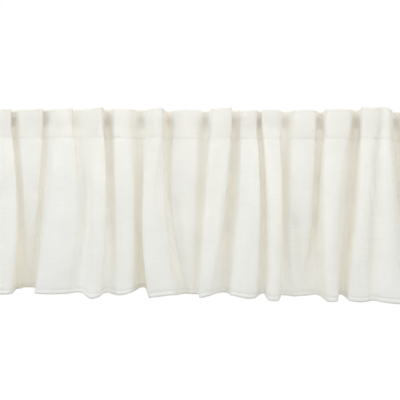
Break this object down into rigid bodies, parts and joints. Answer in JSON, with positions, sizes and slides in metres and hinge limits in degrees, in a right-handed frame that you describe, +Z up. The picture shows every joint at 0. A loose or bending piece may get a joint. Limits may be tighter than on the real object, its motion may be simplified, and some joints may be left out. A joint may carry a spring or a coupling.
{
  "type": "window valance on a curtain rod",
  "caption": "Short gathered valance of semi-sheer off-white cloth, held in soft uneven folds on a plain round rod by hidden back tabs.",
  "frame": {"origin": "middle of the rod's axis", "axes": "+X along the rod to the right as seen from the room, +Y towards the window wall, +Z up; the cloth's front faces -Y"},
  "size_m": [1.4, 0.1014, 0.5134],
  "materials": {
    "linen": "semi-sheer off-white plain weave with fine slubs",
    "tape": "white cotton heading tape and tabs",
    "rod": "plain satin tube"
  },
  "bodies": {
    "root": {"valance_cloth": "linen", "heading_tape": "tape", "tab_01": "tape", "tab_02": "tape", "tab_03": "tape", "tab_04": "tape", "tab_05": "tape", "tab_06": "tape", "tab_07": "tape", "tab_08": "tape", "tab_09": "tape", "tab_10": "tape", "tab_11": "tape", "tab_12": "tape", "tab_13": "tape", "tab_14": "tape", "rod": "rod"}
  },
  "joints": []
}
